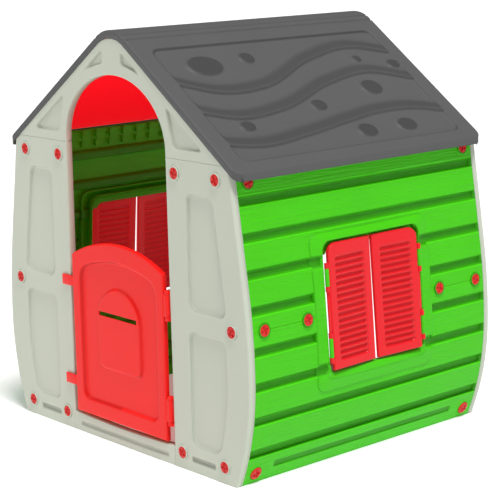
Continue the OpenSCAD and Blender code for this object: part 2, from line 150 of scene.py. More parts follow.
class Shape:
    """Collects grids of points and makes one mesh of them."""

    def __init__(self):
        self.points = []
        self.finish = []
        self.faces = []
        self.count = 0

    def grid(self, x, y, z, out, keep=None, wrap=False, finish=None):
        """Adds a grid of quads.

        out is the way its outer side looks, keep says which cells stay, and finish how much darker
        (above 0) or lighter (below 0) each point is, mostly painted shade and painted highlights."""
        p = np.stack(np.broadcast_arrays(x, y, z), -1).astype(float)
        rows, cols = p.shape[:2]
        index = np.arange(rows * cols).reshape(rows, cols)
        if wrap:
            index = np.concatenate([index, index[:1]], 0)
        a, b, c, d = index[:-1, :-1], index[1:, :-1], index[1:, 1:], index[:-1, 1:]
        if keep is None:
            keep = np.ones(a.shape, bool)
        quads = np.stack([a[keep], b[keep], c[keep], d[keep]], -1)
        flat = p.reshape(-1, 3)
        normal = np.cross(flat[quads[:, 2]] - flat[quads[:, 0]], flat[quads[:, 3]] - flat[quads[:, 1]])
        if callable(out):
            outward = out(flat[quads].mean(1))
        else:
            outward = np.array(out, float)
        if np.sum(normal * outward) < 0:
            quads = quads[:, ::-1]
        self.points.append(flat)
        self.finish.append(np.zeros(len(flat)) if finish is None else finish.ravel())
        self.faces.append(quads + self.count)
        self.count += len(flat)

    def lathe(self, profile, turns=32, place=None, finish=0.0):
        """Adds a surface turned round the local Z axis from (radius, height) points."""
        profile = np.array(profile, float)
        t = np.linspace(0, 2 * math.pi, turns + 1)[:, None]
        x = profile[:, 0] * np.cos(t)
        y = profile[:, 0] * np.sin(t)
        z = profile[:, 1] + 0 * t
        if place is not None:
            x, y, z = place(x, y, z)
        centre = np.array([x.mean(), y.mean(), z.mean()])
        self.grid(x, y, z, lambda c: c - centre, finish=finish + 0 * x)


def bar(shape, low, high, r, place=None):
    """A block with rounded edges, from low corner to high corner."""
    low, high = np.array(low, float), np.array(high, float)
    centre, half = (low + high) / 2, (high - low) / 2
    turns, rings = 32, 12
    a = (np.arange(turns) + 0.5) / turns * 2 * math.pi
    b = np.linspace(-math.pi / 2, math.pi / 2, rings)
    ca, sa = np.cos(a)[:, None], np.sin(a)[:, None]
    cb, sb = np.cos(b)[None, :], np.sin(b)[None, :]
    r = min(r, half.min() - 0.01)
    x = np.sign(ca) * (half[0] - r) + r * ca * cb
    y = np.sign(sa) * (half[1] - r) + r * sa * cb
    z = np.sign(sb) * (half[2] - r) + r * sb + 0 * ca
    for sheet in (x, y):
        sheet[:, 0] = 0
        sheet[:, -1] = 0
    cap_x = np.sign(ca) * (half[0] - r)
    cap_y = np.sign(sa) * (half[1] - r)
    x = np.concatenate([x[:, :1], cap_x, x[:, 1:-1], cap_x, x[:, -1:]], 1)
    y = np.concatenate([y[:, :1], cap_y, y[:, 1:-1], cap_y, y[:, -1:]], 1)
    z = np.concatenate([z[:, :1], z[:, :1], z[:, 1:-1], z[:, -1:], z[:, -1:]], 1)
    x, y, z = centre[0] + x, centre[1] + y, centre[2] + z
    if place is not None:
        x, y, z = place(x, y, z)
        centre = np.array([x.mean(), y.mean(), z.mean()])
    shape.grid(x, y, z, lambda c: c - centre, wrap=True)


def build(name, shape, material, body, replaces=(), mirror=(1, 1), solid=0.0):
    """Makes the mesh object, mirrored in X or Y where asked, and ties it to its body.

    solid is the thickness given to an open sheet."""
    points = np.concatenate(shape.points) * MM * np.array([mirror[0], mirror[1], 1])
    faces = np.concatenate(shape.faces)
    if mirror[0] * mirror[1] < 0:
        faces = faces[:, ::-1]
    used = np.unique(faces)
    renumber = np.zeros(len(points), int)
    renumber[used] = np.arange(len(used))
    points, faces = points[used], renumber[faces]
    mesh = bpy.data.meshes.new(name)
    mesh.vertices.add(len(points))
    mesh.vertices.foreach_set("co", points.astype(np.float32).ravel())
    mesh.loops.add(faces.size)
    mesh.loops.foreach_set("vertex_index", faces.astype(np.int32).ravel())
    mesh.polygons.add(len(faces))
    mesh.polygons.foreach_set("loop_start", np.arange(0, faces.size, 4, dtype=np.int32))
    mesh.polygons.foreach_set("use_smooth", np.ones(len(faces), bool))
    mesh.update(calc_edges=True)
    mesh.validate()
    # The finish attribute: painted shade and painted highlights, with the darker tone of the roof's pebbles.
    finish = np.concatenate(shape.finish)[used]
    if finish.any():
        mesh.attributes.new("finish", "FLOAT", "POINT").data.foreach_set("value", finish.astype(np.float32))
    obj = bpy.data.objects.new(name, mesh)
    bpy.context.scene.collection.objects.link(obj)
    mesh.materials.append(material)
    if solid:
        thick = obj.modifiers.new("skin", "SOLIDIFY")
        thick.thickness = solid * MM
        thick.offset = -1
    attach(obj, body)
    if replaces:
        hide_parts(*replaces)
    return obj


# ---- Materials ---------------------------------------------------------------------------------
SCUFF_ROUGHNESS = 0.08
PLASTIC_IOR = 1.49


def add_node(tree, kind, **values):
    """Adds a node, setting its sockets by name and its settings by attribute."""
    n = tree.nodes.new(kind)
    for key, value in values.items():
        if key in n.inputs:
            n.inputs[key].default_value = value
        else:
            setattr(n, key, value)
    return n


def color_socket(sockets, name):
    """The colour socket of a mix node, which has one of the same name for each kind of data."""
    return [s for s in sockets if s.name == name and s.type == "RGBA"][0]


def plastic(name, color, rough, speckle, mottle, grain=None, pebble=0.0, specular=0.3, painted_shading=0.0, painted_glow=0.0):
    """Moulded plastic: faint colour mottling, uneven gloss, fine surface texture and light scuffs.

    The shading strength says how far the mesh's finish attribute, painted shade and painted highlights,
    darkens or lightens the colour, and the glow is a painted glow, light of its own."""
    m = bpy.data.materials.new(name)
    m.use_nodes = True
    tree = m.node_tree
    link = tree.links.new
    shader = tree.nodes["Principled BSDF"]
    place = add_node(tree, "ShaderNodeTexCoord").outputs["Object"]

    broad = add_node(tree, "ShaderNodeTexNoise", Scale=7.0, Detail=4.0, Roughness=0.55)
    fine = add_node(tree, "ShaderNodeTexNoise", Scale=900.0, Detail=3.0, Roughness=0.6)
    link(place, broad.inputs["Vector"])
    link(place, fine.inputs["Vector"])

    scuff_map = add_node(tree, "ShaderNodeMapping", Scale=(30.0, 30.0, 260.0), Rotation=(0.4, 0.5, 0.3))
    scuff = add_node(tree, "ShaderNodeTexNoise", Scale=1.6, Detail=6.0, Roughness=0.7)
    scuff_ramp = add_node(tree, "ShaderNodeMapRange", **{"From Min": 0.58, "From Max": 0.78})
    link(place, scuff_map.inputs["Vector"])
    link(scuff_map.outputs["Vector"], scuff.inputs["Vector"])
    link(scuff.outputs["Fac"], scuff_ramp.inputs["Value"])

    dark = tuple(c * (1 - mottle) for c in color[:3]) + (1,)
    light = tuple(min(1, c * (1 + mottle)) for c in color[:3]) + (1,)
    tone = add_node(tree, "ShaderNodeMix", data_type="RGBA")
    color_socket(tone.inputs, "A").default_value = dark
    color_socket(tone.inputs, "B").default_value = light
    link(broad.outputs["Fac"], tone.inputs["Factor"])

    grime = add_node(tree, "ShaderNodeMix", data_type="RGBA", blend_type="MULTIPLY")
    link(color_socket(tone.outputs, "Result"), color_socket(grime.inputs, "A"))
    color_socket(grime.inputs, "B").default_value = (1 - speckle * 3, 1 - speckle * 3, 1 - speckle * 3, 1)
    fleck = add_node(tree, "ShaderNodeMapRange", **{"From Min": 0.55, "From Max": 0.8})
    link(fine.outputs["Fac"], fleck.inputs["Value"])
    link(fleck.outputs["Result"], grime.inputs["Factor"])
    color_out = color_socket(grime.outputs, "Result")
    # Painted shade and painted highlights: the finish attribute scales the colour darker or lighter.
    if painted_shading:
        painted_light = add_node(tree, "ShaderNodeAttribute", attribute_name="finish")
        darker = add_node(tree, "ShaderNodeMapRange",
                          **{"From Min": -1.0, "To Min": 1.0 + painted_shading, "To Max": 1.0 - painted_shading})
        shaded_color = add_node(tree, "ShaderNodeVectorMath", operation="SCALE")
        link(painted_light.outputs["Fac"], darker.inputs["Value"])
        link(color_out, shaded_color.inputs[0])
        link(darker.outputs["Result"], shaded_color.inputs["Scale"])
        color_out = shaded_color.outputs["Vector"]
    link(color_out, shader.inputs["Base Color"])

    gloss = add_node(tree, "ShaderNodeMapRange", **{"To Min": rough - 0.06, "To Max": rough + 0.08})
    link(broad.outputs["Fac"], gloss.inputs["Value"])
    add = add_node(tree, "ShaderNodeMath", operation="MULTIPLY_ADD")
    link(scuff_ramp.outputs["Result"], add.inputs[0])
    add.inputs[1].default_value = SCUFF_ROUGHNESS
    link(gloss.outputs["Result"], add.inputs[2])
    link(add.outputs["Value"], shader.inputs["Roughness"])

    bump = add_node(tree, "ShaderNodeBump", Strength=0.25, Distance=0.0002)
    link(fine.outputs["Fac"], bump.inputs["Height"])
    last = bump
    if pebble:
        cells = add_node(tree, "ShaderNodeTexVoronoi", Scale=420.0)
        link(place, cells.inputs["Vector"])
        rough_bump = add_node(tree, "ShaderNodeBump", Strength=pebble, Distance=0.0006)
        link(cells.outputs["Distance"], rough_bump.inputs["Height"])
        link(last.outputs["Normal"], rough_bump.inputs["Normal"])
        last = rough_bump
    if grain:
        grain_map = add_node(tree, "ShaderNodeMapping", Scale=grain["scale"])
        streak = add_node(tree, "ShaderNodeTexNoise", Scale=1.0, Detail=5.0, Roughness=0.6, Distortion=0.6)
        lines = add_node(tree, "ShaderNodeMapRange", **{"From Min": 0.35, "From Max": 0.65})
        link(place, grain_map.inputs["Vector"])
        link(grain_map.outputs["Vector"], streak.inputs["Vector"])
        link(streak.outputs["Fac"], lines.inputs["Value"])
        grain_bump = add_node(tree, "ShaderNodeBump", Strength=grain["strength"], Distance=grain["depth"])
        link(lines.outputs["Result"], grain_bump.inputs["Height"])
        link(last.outputs["Normal"], grain_bump.inputs["Normal"])
        last = grain_bump
    link(last.outputs["Normal"], shader.inputs["Normal"])
    shader.inputs["IOR"].default_value = PLASTIC_IOR
    # A painted glow: the material gives off light of its own, though it is no lamp.
    shader.inputs["Emission Color"].default_value = tuple(color) + (1,)
    shader.inputs["Emission Strength"].default_value = painted_glow
    shader.inputs["Specular IOR Level"].default_value = specular
    return m


PALE = plastic("pale_plastic", (0.540, 0.575, 0.480), 0.44, speckle=0.01, mottle=0.03, painted_shading=0.4)
GREEN = plastic("green_plastic", (0.062, 0.560, 0.0045), 0.42, speckle=0.02, mottle=0.06,
                grain={"scale": (40.0, 5.0, 190.0), "strength": 0.8, "depth": 0.001},
                specular=0.2, painted_shading=0.42)
RED_DOOR = plastic("door_plastic", (0.880, 0.014, 0.011), 0.32, speckle=0.01, mottle=0.03,
                   specular=0.2, painted_shading=0.3)
RED_SCREW = plastic("screw_plastic", (0.660, 0.014, 0.010), 0.34, speckle=0.01, mottle=0.03)
# These two get a painted glow, which stands for daylight let through their thin plastic.
RED_SHUTTER = plastic("shutter_plastic", (0.680, 0.010, 0.016), 0.35, speckle=0.01, mottle=0.03,
                      specular=0.25, painted_shading=0.3, painted_glow=0.15)
RED_LINING = plastic("lining_plastic", (0.950, 0.002, 0.012), 0.45, speckle=0.01, mottle=0.05,
                     specular=0.15, painted_glow=0.5)
SLATE = plastic("roof_plastic", (0.094, 0.094, 0.096), 0.58, speckle=0.05, mottle=0.05, pebble=0.35,
                painted_shading=0.45)


# ---- Gable ends --------------------------------------------------------------------------------
EDGE_R = 3.0
OUTER_R = 5.5
POCKET_D = 8.0
POCKET_SLOPE = 6.5
SLOT_D = 5.0
GABLE_SCREWS = ((395, 754), (242, 754), (444, 391), (409, 44), (247, 44))
STEP = 3.0
# Recessed panels of a column: (left side, margin at the wall side, bottom, top).
COLUMN_POCKETS = ((281, 74, 415, 713), (280, 82, 67, 368))
COLUMN_POCKET_R = 26.0
COLUMN_CORNER_Z = 774.0
COLUMN_W = 260.0
# Slots near the floor: (middle X, half length, middle Z, half height, corner radius).
FOOT_SLOT = (326, 46, 34, 8, 5)
THRESHOLD_SLOT = (0, 188, 23, 7, 4)
SLOT_EDGE = 3.0
SLOT_SHADE = 0.3
THRESHOLD_H = 47.0
THRESHOLD_RISE = 6.0
# Recessed panels of the gable top: beside the peak, and at the foot of each roof slope.
VERGE_MARGIN = 19.0
PEAK_POCKET_X = (36.0, 130.0)
PEAK_POCKET_GAP = 27.0
LOW_POCKET_Z = 812.0
LOW_POCKET_SIDE = ((205, 931), (236, 813))
SCREW_SHADE = 1.5


def under_roof_x(z):
    """Half width where the gable meets the roof's edge at height z."""
    return (APEX_Z - VERGE_DROP - 0.2 - z) / math.tan(ROOF_PITCH)


def column_pockets(x, z):
    """Depth of the two recessed panels of a column."""
    depth = 0
    for x0, margin, z0, z1 in COLUMN_POCKETS:
        right = wall_x(z) - margin
        inside = box_inside(x - (x0 + right) / 2, (right - x0) / 2, z - (z0 + z1) / 2, (z1 - z0) / 2,
                            COLUMN_POCKET_R)
        depth = depth + POCKET_D * smooth(inside / POCKET_SLOPE)
    return depth + SLOT_D * in_slot(x, z, FOOT_SLOT)


def in_slot(x, z, slot):
    """1 on the floor of a slot, 0 outside it."""
    middle_x, half_x, middle_z, half_z, r = slot
    return smooth(box_inside(x - middle_x, half_x, z - middle_z, half_z, r) / SLOT_EDGE)


def pocket_shade(depth):
    """1 on the steep sides of a recess, where the moulding is in shade."""
    side = 4 * (depth / POCKET_D) * (1 - depth / POCKET_D)
    return 0.55 * np.clip(side, 0, 1)


def seat_ring(shape, place, shade=0.0):
    """A fine raised ring moulded round a screw head, with a shaded gap inside it."""
    shape.lathe([(15.0, 0.3), (18.2, 0.3)], 40, place, finish=shade)
    shape.lathe([(18.3, -0.5), (18.5, 0.8), (19.1, 1.2), (20.0, 1.1), (21.0, 0.3), (21.5, -0.5)], 40, place)


def column():
    """The right front column: a shallow tray whose outer side follows the bulging wall."""
    top = SEAM_Z - 0.1
    z = np.sort(np.append(spread(top, STEP), COLUMN_CORNER_Z))
    left = jamb_x(z)
    right = np.minimum(wall_x(z), under_roof_x(z))
    share = spread(COLUMN_W, STEP) / COLUMN_W
    x = left[:, None] + (right - left)[:, None] * share
    zz = z[:, None] + 0 * x
    depth = column_pockets(x, zz) + rounded_edge(x - left[:, None], EDGE_R)
    depth += rounded_edge(right[:, None] - x, OUTER_R) + rounded_edge(np.minimum(zz, top - zz), 1.5)
    shade = SLOT_SHADE * in_slot(x, zz, FOOT_SLOT) + pocket_shade(column_pockets(x, zz))
    shape = rimmed(x, zz, depth, GABLE_T, shade)
    for px, pz in GABLE_SCREWS:
        seat_ring(shape, lambda a, b, c: (px + a, FRONT_Y - c, pz + b))
    return shape


def rimmed(x, z, depth, rim, shade):
    """A front face at the gable plane with its edges turned back by the depth of the rim."""
    x = np.pad(x, 1, mode="edge")
    z = np.pad(z, 1, mode="edge")
    depth = np.pad(depth, 1, mode="constant", constant_values=rim)
    # The four corner cells of the rim have no area.
    keep = np.ones((x.shape[0] - 1, x.shape[1] - 1), bool)
    keep[::len(keep) - 1, ::keep.shape[1] - 1] = False
    shape = Shape()
    shape.grid(x, FRONT_Y + depth, z, (0, -1, 0), keep, finish=np.pad(shade, 1))
    return shape


def arch_point(t):
    """A point of the arch edge, t from 0 at the right foot to 1 at the crown."""
    rise = ARCH_BASE - SEAM_Z
    a, b = JAMB_TOP, ARCH_TOP - ARCH_BASE
    quarter = math.pi / 2
    length = rise + (a + b) / 2 * quarter
    s = np.asarray(t, float) * length
    angle = np.clip((s - rise) / (length - rise), 0, 1) * quarter
    x = np.where(s < rise, a, a * np.cos(angle))
    z = np.where(s < rise, SEAM_Z + s, ARCH_BASE + b * np.sin(angle))
    return x, z


def gable_edge_point(t):
    """A point of the gable's roof edge, t from 0 at the seam to 1 at the rounded peak."""
    drop = VERGE_DROP + 0.2
    foot = np.array([under_roof_x(SEAM_Z), SEAM_Z])
    tangent = np.array([RIDGE_R * math.sin(ROOF_PITCH), RIDGE_C + RIDGE_R * math.cos(ROOF_PITCH) - drop])
    straight = math.hypot(*(foot - tangent))
    length = straight + RIDGE_R * ROOF_PITCH
    s = np.asarray(t, float) * length
    along = np.clip(s / straight, 0, 1)
    angle = ROOF_PITCH - np.clip((s - straight) / RIDGE_R, 0, ROOF_PITCH)
    x = np.where(s < straight, foot[0] + (tangent[0] - foot[0]) * along, RIDGE_R * np.sin(angle))
    z = np.where(s < straight, foot[1] + (tangent[1] - foot[1]) * along,
                 RIDGE_C + RIDGE_R * np.cos(angle) - drop)
    return x, z


def above_arch(x, z):
    """Roughly how far a point is above the arch."""
    a, b = JAMB_TOP, ARCH_TOP - ARCH_BASE
    return (np.hypot(x / a, (z - ARCH_BASE) / b) - 1) * b


def half_plane(x, z, p, q):
    """Distance to the left of the line from p to q."""
    d = np.array(q, float) - np.array(p, float)
    d /= np.hypot(*d)
    return (z - p[1]) * d[0] - (x - p[0]) * d[1]


def gable_pockets(x, z):
    """Depth of the four recessed panels of the arched gable top."""
    x = np.abs(x)
    line_z = APEX_Z - VERGE_DROP
    eave_z = line_z - WIDEST_X * math.tan(ROOF_PITCH)
    edge = half_plane(x, z, (WIDEST_X, eave_z), (0, line_z)) - VERGE_MARGIN
    upper = soft_min(edge, above_arch(x, z) - PEAK_POCKET_GAP, 12)
    upper = soft_min(soft_min(upper, x - PEAK_POCKET_X[0], 12), PEAK_POCKET_X[1] - x, 10)
    lower = soft_min(soft_min(edge, half_plane(x, z, *LOW_POCKET_SIDE), 12), z - LOW_POCKET_Z, 18)
    return POCKET_D * (smooth(upper / POCKET_SLOPE) + smooth(lower / POCKET_SLOPE))


def gable_top_shape():
    """The arched gable top: a sheet of cells between the arch and the roof's edge."""
    half = np.concatenate([[0, 0.0015, 0.004, 0.008, 0.013], np.linspace(0.02, 1, 150)])
    ax, az = arch_point(half)
    ex, ez = gable_edge_point(half)
    ax = np.concatenate([ax, -ax[-2::-1]])
    az = np.concatenate([az, az[-2::-1]])
    ex = np.concatenate([ex, -ex[-2::-1]])
    ez = np.concatenate([ez, ez[-2::-1]])
    share = spread(150, 2.2) / 150
    x = ax[:, None] + (ex - ax)[:, None] * share
    z = az[:, None] + (ez - az)[:, None] * share + 0.1
    width = np.hypot(ex - ax, ez - az)[:, None]
    s = np.minimum(share, 1 - share) * width
    depth = gable_pockets(x, z)
    shade = pocket_shade(depth)
    depth = depth + rounded_edge(s, EDGE_R) + rounded_edge(z - SEAM_Z, 1.5)
    return rimmed(x, z, depth, GABLE_T, shade)


def threshold():
    """The strip under the doorway, a little higher at its ends."""
    x = np.linspace(-1, 1, 160)
    height = THRESHOLD_H + THRESHOLD_RISE * x ** 2
    share = spread(50, 2.5) / 50
    z = height[:, None] * share
    xx = x[:, None] * (jamb_x(z) - 0.2)
    depth = rounded_edge(np.minimum(z, height[:, None] - z), EDGE_R)
    slot = in_slot(xx, z, THRESHOLD_SLOT)
    return rimmed(xx, z, depth + SLOT_D * slot, GABLE_T, SLOT_SHADE * slot)


for end, my in ENDS:
    for side, mx in SIDES:
        name = f"{end}_column_{side}"
        build(name + "_moulding", column(), PALE, "house", (name,), (mx, my), SKIN)
    build(f"{end}_gable_top_moulding", gable_top_shape(), PALE, "house",
          (f"{end}_gable_top",), (1, my), SKIN)
    build(f"{end}_threshold_moulding", threshold(), PALE, "house",
          (f"{end}_threshold",), (1, my), SKIN)


# ---- Window frame of reference -----------------------------------------------------------------
WINDOW_Z = 410.0
WINDOW_TILT = math.radians(4.5)
WINDOW_X = float(wall_x(WINDOW_Z)) + 1.0
OPEN_HALF = 172.5
OPEN_LOW, OPEN_HIGH = -162.0, 168.0
FRAME_HALF = 210.5
FRAME_LOW, FRAME_HIGH = -210.0, 190.0
FRAME_DEPTH = 26.0
OPEN_R, FRAME_R = 26.0, 28.0
# Rows of the frame's cells from its inner edge to its outer one; the doubled ends turn back.
FRAME_ROWS = (0, 0, 0.02, 0.05, 0.09, 0.14, 0.2, 0.27, 0.34, 0.40, 0.46, 0.55, 0.65, 0.75, 0.85, 0.9,
              0.94, 0.97, 0.99, 1.0, 1.0)
FRAME_PROUD = 2.5
FRAME_BORDER = 4.0
SILL_SLOPE = 20.0
SILL_DROP = 8.0
# Two recesses on each side of the frame, where grooves of the wall run on into it.
RECESS_Z = (530, 260)
RECESS_HALF = 16.0
RECESS_D = 9.0
OUTLINE_SHADE = 0.6
GROOVE_SHADE = 0.95
LEDGE_W = 20.0
LEDGE_R = 20.0
LEDGE_N = -15.5
LEDGE_LOW = 134.0


def at_window(n, u, v):
    """Window coordinates (out of the window, along the wall, up the window) to house coordinates."""
    c, s = math.cos(WINDOW_TILT), math.sin(WINDOW_TILT)
    return WINDOW_X + n * c - v * s, u, WINDOW_Z + n * s + v * c


def rounded_loop(half, low, high, r, per_side=110, per_corner=12):
    """Points round a rounded rectangle, the same number for any size."""
    corners = ((half - r, high - r, 0), (-half + r, high - r, 90), (-half + r, low + r, 180),
               (half - r, low + r, 270))
    u, v = [], []
    for i, (cu, cv, a0) in enumerate(corners):
        a = np.radians(a0 + np.linspace(0, 90, per_corner))
        u.append(cu + r * np.cos(a))
        v.append(cv + r * np.sin(a))
        nu, nv = corners[(i + 1) % 4][:2]
        a = math.radians(a0 + 90)
        start = (cu + r * math.cos(a), cv + r * math.sin(a))
        finish = (nu + r * math.cos(a), nv + r * math.sin(a))
        t = np.linspace(0, 1, per_side + 2)[1:-1]
        u.append(start[0] + (finish[0] - start[0]) * t)
        v.append(start[1] + (finish[1] - start[1]) * t)
    return np.concatenate(u), np.concatenate(v)


def quad_heights(z):
    """Height of the middle of each cell of a closed loop of cells."""
    z = np.concatenate([z, z[:1]], 0)
    return (z[:-1, :-1] + z[1:, :-1] + z[1:, 1:] + z[:-1, 1:]) / 4


def window_ring(shape, low_z, high_z):
    """The frame round the opening, the part of it between two heights.

    Its inner edge lies in the window's plane and its outer edge near the boards. The sill slopes."""
    iu, iv = rounded_loop(OPEN_HALF, OPEN_LOW, OPEN_HIGH, OPEN_R)
    ou, ov = rounded_loop(FRAME_HALF, FRAME_LOW, FRAME_HIGH, FRAME_R)
    share = np.array(FRAME_ROWS)
    u = iu[:, None] + (ou - iu)[:, None] * share
    v = iv[:, None] + (ov - iv)[:, None] * share
    z = WINDOW_Z + v
    outer = (wall_x(z[:, -1:]) + FRAME_PROUD - WINDOW_X + v[:, -1:] * math.tan(WINDOW_TILT)).clip(None, 0)
    width = np.hypot(ou - iu, ov - iv)[:, None]
    from_open, from_edge = share * width, (1 - share) * width
    n = outer * np.clip((share - 0.15) / 0.8, 0, 1)
    sill = smooth((OPEN_LOW + 14 - iv)[:, None] / 12) * (np.abs(iu) < OPEN_HALF - 4)[:, None]
    n = n - SILL_DROP * sill * (1 - np.clip(from_open / SILL_SLOPE, 0, 1))
    n = n - rounded_edge(from_open, 2.5) - rounded_edge(from_edge, FRAME_BORDER)
    side = smooth((np.abs(u) - OPEN_HALF - 0.5) / 2) * (np.abs(iv)[:, None] < 150)
    recess = sum(smooth((RECESS_HALF - np.abs(z - at)) / 4) for at in RECESS_Z)
    n = n - RECESS_D * side * recess
    shade = OUTLINE_SHADE * smooth(1 - np.abs(from_edge - 1.5) / 2.5)
    shade = shade + GROOVE_SHADE * side * np.clip(recess, 0, 1)
    shade = shade + OUTLINE_SHADE * sill * smooth(1 - np.abs(from_open - SILL_SLOPE) / 2.5)
    n[:, 0] = -FRAME_DEPTH
    n[:, -1] = -FRAME_DEPTH
    x, y, z = at_window(n, u, v)
    middle = quad_heights(z)
    keep = (middle > low_z) & (middle < high_z)
    shape.grid(x, y, z, (1, 0, 0), keep, wrap=True, finish=shade + 0 * x)


def window_ledge(shape):
    """Lip behind the tops of the shutters, which they close against."""
    ou, ov = rounded_loop(OPEN_HALF, OPEN_LOW, OPEN_HIGH, OPEN_R)
    iu, iv = rounded_loop(OPEN_HALF - LEDGE_W, OPEN_LOW + LEDGE_W, OPEN_HIGH - LEDGE_W, LEDGE_R)
    share = np.array([0, 0.5, 0.9, 1.0])
    u = ou[:, None] + (iu - ou)[:, None] * share
    v = ov[:, None] + (iv - ov)[:, None] * share
    x, y, z = at_window(LEDGE_N + 0 * u, u, v)
    shape.grid(x, y, z, (1, 0, 0), keep=quad_heights(v) > LEDGE_LOW, wrap=True)


# ---- Side walls --------------------------------------------------------------------------------
GROOVE_STEP = 4.0
GROOVE_SLOPE = 11.0
WALL_SLOT = (0, 325, 40, 9.5, 5)
WALL_SLOT_D = 3.0
WALL_SLOT_SHADE = 1.5
# Painted highlight along the top edge of each board, under each groove.
EDGE_HIGHLIGHT = 0.5
END_LIP = 1.0
HOLE_R = 28.0
HOLE_LAP = 6.0
RIB_ROWS = ((738.0, 16.0), (764.0, 20.0))
RIB_SPAN = 360.0
RIB_PITCH = 48.0
RIB_D = 9.0
RIB_HALF = 2.0
HOLE_HALF = FRAME_HALF - 4
WALL_SCREWS = [(s * 382, z) for z in (748, 28) for s in (-1, 1)]
WALL_SCREWS += [(s * y, WALL_SEAM) for y in (382, 238.5) for s in (-1, 1)]


def groove_depth(z):
    """Depth of the grooves at height z: a slope under the upper board, a step out to the lower one."""
    d = np.abs(z - WALL_SEAM) - SEAM_BOARD
    k = np.clip(np.floor(d / BOARD_PITCH), 0, GROOVES - 1)
    p = d - k * BOARD_PITCH
    up = np.where(z > WALL_SEAM, p, GROOVE_H - p)
    step, slope = (up + 0.5) / GROOVE_STEP, (GROOVE_H + 0.5 - up) / GROOVE_SLOPE
    return GROOVE_D * np.minimum(smooth(step), smooth(slope))


def groove_shade(z):
    """1 down in a groove, painted shade, and below 0 on the edge under it, a painted highlight."""
    depth = groove_depth(z) / GROOVE_D
    painted_light = (groove_depth(z + 2.2) > 2) * (groove_depth(z - 1.0) < 0.3) * (depth < 0.3)
    return GROOVE_SHADE * smooth(depth * 1.3) - EDGE_HIGHLIGHT * painted_light


def wall_rows(low, high):
    """Heights for the rows of cells: close together where the boards meet the grooves."""
    z = [low, low + 0.4, low + 1.0, low + 2.0, high - 2.0, high - 1.0, high - 0.4, high]
    z += list(np.arange(low + 4, high - 3, 4.0))
    slot_z = WALL_SLOT[2]
    z += list(np.arange(slot_z - 9, slot_z + 10, 1.0))
    for k in range(GROOVES):
        for sign in (-1, 1):
            middle = WALL_SEAM + sign * (SEAM_BOARD + k * BOARD_PITCH + GROOVE_H / 2)
            z += list(middle + np.arange(-GROOVE_H / 2 - 3, GROOVE_H / 2 + 4, 1.0))
    return np.unique(np.round([v for v in z if low <= v <= high], 1))


def on_wall(py, pz, turn=0.0):
    """Places points on the outside of the right wall: along it, up it, and out from it."""
    tilt = wall_tilt(pz)
    x0 = float(wall_x(pz))
    c, s = math.cos(turn), math.sin(turn)

    out, up = math.cos(tilt), math.sin(tilt)

    def place(u, v, w):
        a, b = u * c - v * s, u * s + v * c
        return x0 + w * out - b * up, py + a, pz + w * up + b * out

    return place


def side_wall(low, high):
    """Half of the right wall: a sheet of boards with the window cut out, and its part of the frame."""
    shape = Shape()
    z = wall_rows(low, high)[:, None]
    ends = WALL_END - np.array([0.7, 1.5, 2.9, 4.1])
    y = np.unique(np.concatenate([np.linspace(-WALL_END, WALL_END, 180), [-HOLE_HALF, HOLE_HALF],
                                  ends, -ends]))
    drop = groove_depth(z) + rounded_edge(np.minimum(z - low, high - z), 1.6)
    drop = drop + rounded_edge(WALL_END - np.abs(y), 2.0)
    shade = groove_shade(z) + 0 * y
    if low < 1:
        slot = in_slot(y + 0 * z, z, WALL_SLOT)
        drop = drop + WALL_SLOT_D * slot
        shade = shade + WALL_SLOT_SHADE * slot
    drop = END_LIP + (drop - END_LIP).clip(0, None) * np.clip(WALL_END - np.abs(y) - 3, 0, 1) \
        - (END_LIP - drop).clip(0, None)
    x = wall_x(z) - drop + 0 * y
    yc = (y[:-1] + y[1:]) / 2
    zc = (z[:-1, 0] + z[1:, 0]) / 2
    bottom = WINDOW_Z + FRAME_LOW + HOLE_LAP
    top = WINDOW_Z + FRAME_HIGH - HOLE_LAP
    above = zc[:, None] - (top + bottom) / 2
    hole = box_inside(yc[None, :], HOLE_HALF, above, (top - bottom) / 2, HOLE_R) > 0
    shape.grid(x, y + 0 * z, z + 0 * y, (1, 0, 0), keep=~hole, finish=shade)
    window_ring(shape, low, high)
    if high > WINDOW_Z + LEDGE_LOW:
        window_ledge(shape)
    for py, pz in WALL_SCREWS:
        if low < pz < high + 0.3:
            seat_ring(shape, on_wall(py, pz), SCREW_SHADE)
    if high > RIB_ROWS[0][0]:
        for rib_z, rib_h in RIB_ROWS:
            for rib_y in np.arange(-RIB_SPAN, RIB_SPAN + 1, RIB_PITCH):
                back = float(wall_x(rib_z)) - SKIN
                bar(shape, (back - RIB_D, rib_y - RIB_HALF, rib_z - rib_h / 2),
                    (back + 1, rib_y + RIB_HALF, rib_z + rib_h / 2), 1.0)
    return shape


for side, mx in SIDES:
    for half, low, high in (("lower", 0.0, WALL_SEAM - 0.1), ("upper", WALL_SEAM + 0.1, WALL_TOP)):
        node = f"side_wall_{side}_{half}"
        build(node + "_boards", side_wall(low, high), GREEN, "house", (node,), (mx, 1), SKIN)


# ---- Roof --------------------------------------------------------------------------------------
ROOF_END = ROOF_HIGH[1]
SLOPE_START = RIDGE_R * math.tan(ROOF_PITCH)
SLOPE_LENGTH = EAVE_X / math.cos(ROOF_PITCH)
CORNER_R = 22.0
EAVE_LIP = 18.0
ROOF_SKIN = 3.0
# The sharp lower edges of the waves: points (along the ridge, down the slope).
WAVES = (
    ((-438, 236), (-411, 247), (-284, 302), (-130, 300), (90, 215), (268, 185), (396, 223), (438, 240)),
    ((-438, 346), (-409, 357), (-302, 397), (-130, 386), (90, 312), (258, 289), (394, 336), (438, 352)),
    ((-438, 464), (-409, 476), (-315, 500), (-117, 485), (39, 458), (170, 440), (301, 445), (399, 472),
     (438, 486)),
)
